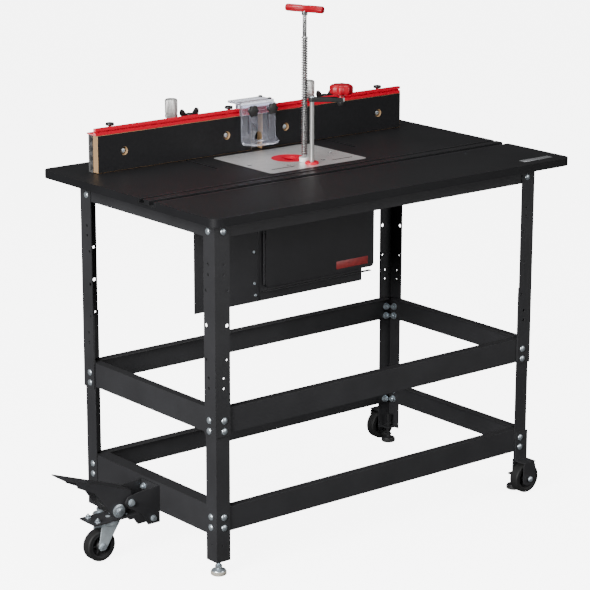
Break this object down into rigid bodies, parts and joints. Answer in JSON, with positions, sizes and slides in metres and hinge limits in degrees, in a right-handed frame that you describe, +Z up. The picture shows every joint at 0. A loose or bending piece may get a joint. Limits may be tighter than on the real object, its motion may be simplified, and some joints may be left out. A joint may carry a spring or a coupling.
{
  "type": "router table",
  "caption": "Router table: laminate top on an adjustable steel stand, with router lift, split fence, clear bit guard, dust box and a pedal-lifted caster.",
  "frame": {"origin": "on the floor, under the middle of the assembly's outline", "axes": "+X along the long side towards the fixed casters, +Y from the operator towards the fence, +Z up"},
  "size_m": [1.2922, 0.6858, 1.2436],
  "materials": {
    "aluminium": "satin aluminium",
    "anodised_black": "black anodised extrusion",
    "anodised_red": "red anodised",
    "black_plastic": "moulded black",
    "clear_plastic": "clear, polished edges",
    "laminate": "black laminate, fine satin texture",
    "powder_coat": "satin black powder coat",
    "rubber": "black wheel tread",
    "zinc": "bright zinc plate"
  },
  "bodies": {
    "lower_frame": {"leg_lower_front_left": "powder_coat", "leg_lower_front_right": "powder_coat", "leg_lower_back_left": "powder_coat", "leg_lower_back_right": "powder_coat", "stretcher_low_front": "powder_coat", "stretcher_low_back": "powder_coat", "stretcher_low_left": "powder_coat", "stretcher_low_right": "powder_coat", "caster_bracket_front_right": "powder_coat", "caster_bracket_back_right": "powder_coat", "pedal_bracket": "powder_coat"},
    "table": {"leg_upper_front_left": "powder_coat", "leg_upper_front_right": "powder_coat", "leg_upper_back_left": "powder_coat", "leg_upper_back_right": "powder_coat", "stretcher_mid_front": "powder_coat", "stretcher_mid_back": "powder_coat", "stretcher_mid_left": "powder_coat", "stretcher_mid_right": "powder_coat", "top_frame": "powder_coat", "table_top": "laminate", "combo_track": "anodised_black", "router_plate": "aluminium", "insert_ring": "anodised_red", "dust_box": "powder_coat", "lift_frame": "aluminium", "wrench_collar": "aluminium", "wrench_spring": "zinc"},
    "foot_front_left_body": {"foot_front_left": "zinc"},
    "foot_front_right_body": {"foot_front_right": "zinc"},
    "foot_back_left_body": {"foot_back_left": "zinc"},
    "foot_back_right_body": {"foot_back_right": "zinc"},
    "wheel_front_right_body": {"wheel_front_right": "rubber"},
    "wheel_back_right_body": {"wheel_back_right": "rubber"},
    "pedal_body": {"pedal": "powder_coat"},
    "roller_body": {"pedal_roller": "zinc"},
    "arm_body": {"caster_arm": "powder_coat"},
    "fork_body": {"caster_fork": "zinc"},
    "caster_wheel_body": {"caster_wheel": "rubber"},
    "door_body": {"dust_box_door": "powder_coat"},
    "carriage_body": {"lift_carriage": "aluminium"},
    "screw_body": {"lead_screw": "zinc"},
    "crank_body": {"crank": "aluminium"},
    "crank_knob_body": {"crank_knob": "anodised_red"},
    "wrench_body": {"lift_wrench": "zinc"},
    "fence_body": {"fence_extrusion": "aluminium", "fence_top_track": "anodised_red", "fence_dust_port": "black_plastic", "fence_bracket_left": "anodised_black", "fence_bracket_right": "anodised_black", "guard_mount": "clear_plastic"},
    "fence_face_left_body": {"fence_face_left": "laminate"},
    "fence_face_right_body": {"fence_face_right": "laminate"},
    "clamp_nut_left_body": {"clamp_nut_left": "aluminium"},
    "wing_knob_left_body": {"wing_knob_left": "black_plastic"},
    "clamp_nut_right_body": {"clamp_nut_right": "aluminium"},
    "wing_knob_right_body": {"wing_knob_right": "black_plastic"},
    "guard_shield_body": {"guard_shield": "clear_plastic"},
    "guard_knob_left_body": {"guard_knob_left": "black_plastic"},
    "guard_knob_right_body": {"guard_knob_right": "black_plastic"}
  },
  "joints": [
    {"name": "stand_height", "type": "slide", "parent": "lower_frame", "child": "table", "axis": [0, 0, 1], "range_m": [0, 0.15]},
    {"name": "foot_level_front_left", "type": "slide", "parent": "lower_frame", "child": "foot_front_left_body", "axis": [0, 0, 1], "range_m": [-0.012, 0.012]},
    {"name": "foot_level_front_right", "type": "slide", "parent": "lower_frame", "child": "foot_front_right_body", "axis": [0, 0, 1], "range_m": [-0.012, 0.012]},
    {"name": "foot_level_back_left", "type": "slide", "parent": "lower_frame", "child": "foot_back_left_body", "axis": [0, 0, 1], "range_m": [-0.012, 0.012]},
    {"name": "foot_level_back_right", "type": "slide", "parent": "lower_frame", "child": "foot_back_right_body", "axis": [0, 0, 1], "range_m": [-0.012, 0.012]},
    {"name": "wheel_spin_front_right", "type": "hinge", "parent": "lower_frame", "child": "wheel_front_right_body", "pos_m": [0.5711, -0.2834, 0.04], "axis": [0, 1, 0], "continuous": true},
    {"name": "wheel_spin_back_right", "type": "hinge", "parent": "lower_frame", "child": "wheel_back_right_body", "pos_m": [0.5711, 0.2716, 0.04], "axis": [0, 1, 0], "continuous": true},
    {"name": "pedal_press", "type": "hinge", "parent": "lower_frame", "child": "pedal_body", "pos_m": [-0.4681, -0.006, 0.138], "axis": [0, 1, 0], "range_deg": [-32, 0]},
    {"name": "roller_spin", "type": "hinge", "parent": "pedal_body", "child": "roller_body", "pos_m": [-0.4971, -0.006, 0.1215], "axis": [0, 1, 0], "continuous": true},
    {"name": "arm_lift", "type": "hinge", "parent": "lower_frame", "child": "arm_body", "pos_m": [-0.4061, -0.006, 0.086], "axis": [0, 1, 0], "range_deg": [-9, 0]},
    {"name": "caster_swivel", "type": "hinge", "parent": "arm_body", "child": "fork_body", "pos_m": [-0.5101, -0.006, 0.098], "axis": [0, 0, 1], "continuous": true},
    {"name": "caster_roll", "type": "hinge", "parent": "fork_body", "child": "caster_wheel_body", "pos_m": [-0.5361, -0.006, 0.0395], "axis": [0, 1, 0], "continuous": true},
    {"name": "door_swing", "type": "hinge", "parent": "table", "child": "door_body", "pos_m": [-0.0761, -0.0513, 0.69], "axis": [0, 0, 1], "range_deg": [-110, 0]},
    {"name": "crank_turn", "type": "hinge", "parent": "table", "child": "crank_body", "pos_m": [0.0984, -0.0089, 0.8636], "axis": [0, 0, 1], "range_deg": [-190, 92]},
    {"name": "screw_turn", "type": "hinge", "parent": "table", "child": "screw_body", "pos_m": [0.0984, -0.0089, 0.7636], "axis": [0, 0, 1], "range_deg": [-4500, 7200]},
    {"name": "crank_knob_spin", "type": "hinge", "parent": "crank_body", "child": "crank_knob_body", "pos_m": [0.15241, -0.05264, 1.0251], "axis": [0, 0, 1], "continuous": true},
    {"name": "lift_travel", "type": "slide", "parent": "table", "child": "carriage_body", "axis": [0, 0, 1], "range_m": [-0.0198, 0.0317]},
    {"name": "wrench_press", "type": "slide", "parent": "table", "child": "wrench_body", "axis": [0, 0, 1], "range_m": [-0.04, 0], "stiffness_N_per_m": 300, "springref_m": 0.04, "deforming": ["wrench_spring"]},
    {"name": "fence_slide", "type": "slide", "parent": "table", "child": "fence_body", "axis": [0, 1, 0], "range_m": [-0.11, 0.012]},
    {"name": "fence_face_slide_left", "type": "slide", "parent": "fence_body", "child": "fence_face_left_body", "axis": [1, 0, 0], "range_m": [-0.03, 0.0155]},
    {"name": "fence_face_slide_right", "type": "slide", "parent": "fence_body", "child": "fence_face_right_body", "axis": [1, 0, 0], "range_m": [-0.0155, 0.03]},
    {"name": "clamp_turn_left", "type": "hinge", "parent": "fence_body", "child": "clamp_nut_left_body", "pos_m": [-0.115, 0.2699, 0.9642], "axis": [0, 0, 1], "continuous": true},
    {"name": "wing_turn_left", "type": "hinge", "parent": "fence_body", "child": "wing_knob_left_body", "pos_m": [-0.061, 0.2699, 0.9592], "axis": [0, 0, 1], "continuous": true},
    {"name": "clamp_turn_right", "type": "hinge", "parent": "fence_body", "child": "clamp_nut_right_body", "pos_m": [0.315, 0.2699, 0.9642], "axis": [0, 0, 1], "continuous": true},
    {"name": "wing_turn_right", "type": "hinge", "parent": "fence_body", "child": "wing_knob_right_body", "pos_m": [0.369, 0.2699, 0.9592], "axis": [0, 0, 1], "continuous": true},
    {"name": "guard_height", "type": "slide", "parent": "fence_body", "child": "guard_shield_body", "axis": [0, 0, 1], "range_m": [-0.004, 0.038]},
    {"name": "guard_knob_turn_left", "type": "hinge", "parent": "fence_body", "child": "guard_knob_left_body", "pos_m": [0.064, 0.1908, 0.969], "axis": [0, 1, 0], "continuous": true},
    {"name": "guard_knob_turn_right", "type": "hinge", "parent": "fence_body", "child": "guard_knob_right_body", "pos_m": [0.124, 0.1908, 0.969], "axis": [0, 1, 0], "continuous": true}
  ],
  "couplings": [
    {"joint": "arm_lift", "follows": "pedal_press", "ratio": 0.28},
    {"joint": "screw_turn", "follows": "lift_travel", "rad_per_m": 3957.9}
  ]
}
